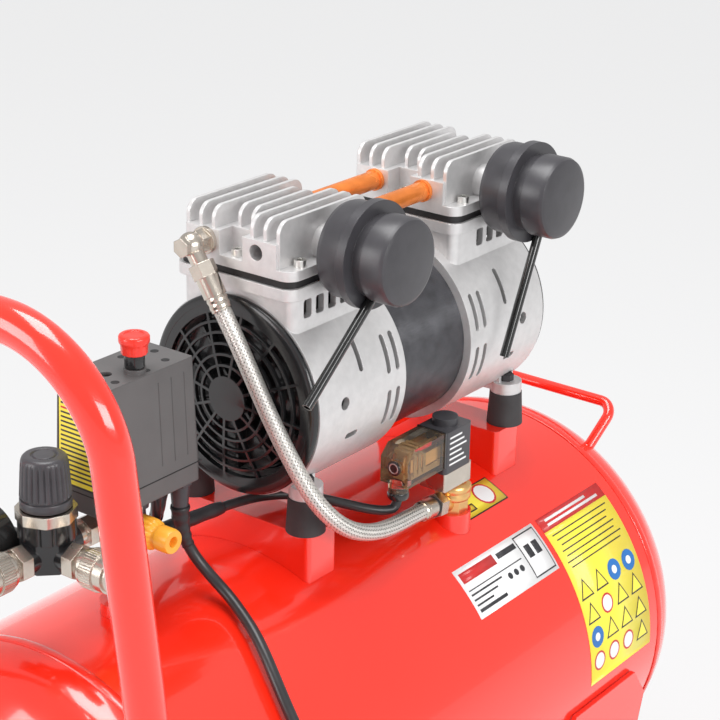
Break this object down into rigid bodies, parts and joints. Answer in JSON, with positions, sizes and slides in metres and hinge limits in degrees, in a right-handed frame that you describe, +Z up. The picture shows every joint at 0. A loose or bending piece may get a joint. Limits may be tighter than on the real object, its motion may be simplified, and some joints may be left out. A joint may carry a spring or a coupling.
{
  "type": "air compressor",
  "caption": "Oil-free portable air compressor: a twin-cylinder pump on a lying tank with a carrying handle, wheels, feet, pressure switch, regulator, gauge and outlets.",
  "frame": {"origin": "on the floor, under the middle of the machine", "axes": "+X along the tank from the carrying handle to the wheels, +Z up"},
  "size_m": [0.7024, 0.418, 0.6675],
  "materials": {
    "red_paint": "gloss",
    "cast_alloy": "matt cast",
    "zinc": "bright zinc",
    "nickel": "nickel plated",
    "steel": "machined",
    "laminations": "varnished sheet",
    "copper": "bright copper",
    "brass": "turned",
    "black_plastic": "fine grain",
    "black_gloss": "gloss",
    "red_plastic": "gloss",
    "orange_plastic": "gloss",
    "smoke_plastic": "smoky clear",
    "rubber": "matt",
    "tyre": "matt",
    "cable": "satin",
    "braid": "woven wire",
    "paper": "printed",
    "lens": "clear",
    "liner": "honed"
  },
  "bodies": {
    "frame": {"tank_shell": "red_paint", "tank_heads": "red_paint", "front_handle": "red_paint", "rear_handle": "red_paint", "tank_bungs": "red_paint", "leg_brackets": "red_paint", "front_feet": "rubber", "wheel_axles": "zinc", "drain_valve": "brass", "pump_brackets": "red_paint", "pump_feet": "rubber", "crankcase_front": "cast_alloy", "crankcase_rear": "cast_alloy", "cylinder_liners": "liner", "valve_plates": "cast_alloy", "cylinder_heads": "cast_alloy", "head_bolts": "zinc", "transfer_tubes": "copper", "stator": "laminations", "main_bearings": "steel", "fan_covers": "black_plastic", "filter_housings": "black_plastic", "snorkels": "black_plastic", "switch_base": "black_plastic", "switch_cover": "black_plastic", "cable_glands": "black_plastic", "manifold": "nickel", "safety_valve": "brass", "regulator_body": "black_plastic", "regulator_nut": "nickel", "gauge_case": "black_gloss", "gauge_dial": "paper", "gauge_lens": "lens", "coupler_bodies": "nickel", "check_valve": "brass", "solenoid_valve": "nickel", "solenoid_coil": "black_plastic", "solenoid_plug": "smoke_plastic", "delivery_hose": "braid", "hose_fittings": "nickel", "switch_leads": "cable", "power_cord": "cable", "power_cord_coil": "cable", "power_plug": "cable"},
    "left_wheel": {"wheel_left": "tyre"},
    "right_wheel": {"wheel_right": "tyre"},
    "rotor": {"rotor": "steel", "cooling_fans": "black_plastic"},
    "front_piston": {"connecting_rod_front": "cast_alloy"},
    "rear_piston": {"connecting_rod_rear": "cast_alloy"},
    "pull_knob": {"switch_knob": "red_plastic"},
    "pressure_screw": {"regulator_screw": "steel"},
    "pressure_knob": {"regulator_knob": "black_plastic"},
    "needle": {"gauge_needle": "black_gloss"},
    "front_sleeve": {"coupler_sleeve_front": "nickel"},
    "side_sleeve": {"coupler_sleeve_side": "nickel"},
    "relief_cap": {"safety_cap": "orange_plastic"},
    "drain": {"drain_screw": "brass"},
    "front_filter_cap": {"filter_cap_front": "black_plastic"},
    "rear_filter_cap": {"filter_cap_rear": "black_plastic"}
  },
  "joints": [
    {"name": "left_wheel_spin", "type": "hinge", "parent": "frame", "child": "left_wheel", "pos_m": [0.18325, 0.185, 0.08], "axis": [0, 1, 0], "continuous": true},
    {"name": "right_wheel_spin", "type": "hinge", "parent": "frame", "child": "right_wheel", "pos_m": [0.18325, -0.185, 0.08], "axis": [0, 1, 0], "continuous": true},
    {"name": "motor_spin", "type": "hinge", "parent": "frame", "child": "rotor", "pos_m": [0.06905, 0, 0.5073], "axis": [1, 0, 0], "continuous": true},
    {"name": "front_piston_pin", "type": "hinge", "parent": "rotor", "child": "front_piston", "pos_m": [-0.02495, 0, 0.5133], "axis": [1, 0, 0], "continuous": true},
    {"name": "rear_piston_pin", "type": "hinge", "parent": "rotor", "child": "rear_piston", "pos_m": [0.16305, 0, 0.5013], "axis": [1, 0, 0], "continuous": true},
    {"name": "switch_pull", "type": "slide", "parent": "frame", "child": "pull_knob", "axis": [0, 0, 1], "range_m": [0, 0.006]},
    {"name": "pressure_turn", "type": "hinge", "parent": "frame", "child": "pressure_screw", "pos_m": [-0.24875, 0, 0.48], "axis": [0, 0, 1], "range_deg": [0, 810]},
    {"name": "pressure_unlock", "type": "slide", "parent": "pressure_screw", "child": "pressure_knob", "axis": [0, 0, 1], "range_m": [0, 0.003]},
    {"name": "gauge_sweep", "type": "hinge", "parent": "frame", "child": "needle", "pos_m": [-0.26775, 0.04, 0.4595], "axis": [1, 0, 0], "range_deg": [0, 270]},
    {"name": "front_sleeve_slide", "type": "slide", "parent": "frame", "child": "front_sleeve", "axis": [1, 0, 0], "range_m": [0, 0.004], "stiffness_N_per_m": 800, "springref_m": -0.003},
    {"name": "side_sleeve_slide", "type": "slide", "parent": "frame", "child": "side_sleeve", "axis": [0, 1, 0], "range_m": [0, 0.004], "stiffness_N_per_m": 800, "springref_m": -0.003},
    {"name": "relief_pull", "type": "slide", "parent": "frame", "child": "relief_cap", "axis": [0, -1, 0], "range_m": [0, 0.003], "stiffness_N_per_m": 800, "springref_m": -0.003},
    {"name": "drain_turn", "type": "hinge", "parent": "frame", "child": "drain", "pos_m": [-0.05175, 0, 0.05], "axis": [0, 0, 1], "range_deg": [0, 360]},
    {"name": "front_filter_twist", "type": "hinge", "parent": "frame", "child": "front_filter_cap", "pos_m": [-0.02495, -0.1, 0.6153], "axis": [0, 1, 0], "range_deg": [0, 30]},
    {"name": "rear_filter_twist", "type": "hinge", "parent": "frame", "child": "rear_filter_cap", "pos_m": [0.16305, -0.1, 0.6153], "axis": [0, 1, 0], "range_deg": [0, 30]}
  ],
  "couplings": [
    {"joint": "front_piston_pin", "follows": "motor_spin", "ratio": -1},
    {"joint": "rear_piston_pin", "follows": "motor_spin", "ratio": -1}
  ]
}
